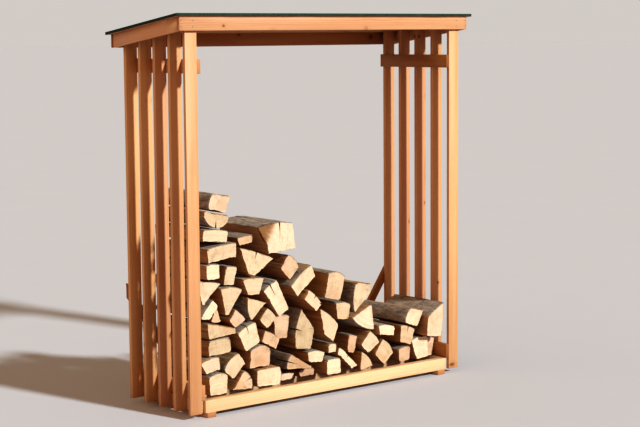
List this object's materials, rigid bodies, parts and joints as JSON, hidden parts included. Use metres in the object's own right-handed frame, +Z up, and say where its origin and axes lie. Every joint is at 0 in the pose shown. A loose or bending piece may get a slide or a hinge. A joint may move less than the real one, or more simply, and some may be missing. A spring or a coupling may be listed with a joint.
{
  "type": "log store",
  "caption": "Open-fronted garden log store: two slatted side panels, raised floor beams and a felted pent roof, part filled with split firewood.",
  "frame": {"origin": "centre of the bounding box at ground level, under the skids", "axes": "+X across the front to the right, +Y from the open front to the back, +Z up"},
  "size_m": [1.5, 0.488, 1.529],
  "materials": {
    "side_boards": "planed softwood, satin",
    "rails": "planed softwood, satin",
    "fascias": "planed softwood, satin",
    "floor_beams": "sawn softwood, matte",
    "skids": "sawn softwood, matte",
    "roof_boards": "sawn boards, matte",
    "felt": "mineral roofing felt, matte",
    "firewood": "fresh split firewood with bark"
  },
  "bodies": {
    "root": {"back_brace_left": "rails", "back_brace_right": "rails", "fascia_front": "fascias", "fascia_left": "fascias", "fascia_rear": "fascias", "fascia_right": "fascias", "fin_left_1": "side_boards", "fin_left_2": "side_boards", "fin_left_3": "side_boards", "fin_left_4": "side_boards", "fin_left_5": "side_boards", "fin_right_1": "side_boards", "fin_right_2": "side_boards", "fin_right_3": "side_boards", "fin_right_4": "side_boards", "fin_right_5": "side_boards", "floor_beam_front": "floor_beams", "floor_beam_middle": "floor_beams", "floor_beam_rear": "floor_beams", "floor_bearer_left": "rails", "floor_bearer_right": "rails", "logs_course_1": "firewood", "logs_course_2": "firewood", "logs_course_3": "firewood", "logs_course_4": "firewood", "logs_course_5": "firewood", "logs_course_6": "firewood", "logs_course_7": "firewood", "logs_course_8": "firewood", "logs_course_9": "firewood", "lower_rail_left": "rails", "lower_rail_right": "rails", "roof_deck": "roof_boards", "roof_felt": "felt", "skid_left": "skids", "skid_right": "skids", "upper_rail_left": "rails", "upper_rail_right": "rails"}
  },
  "joints": []
}
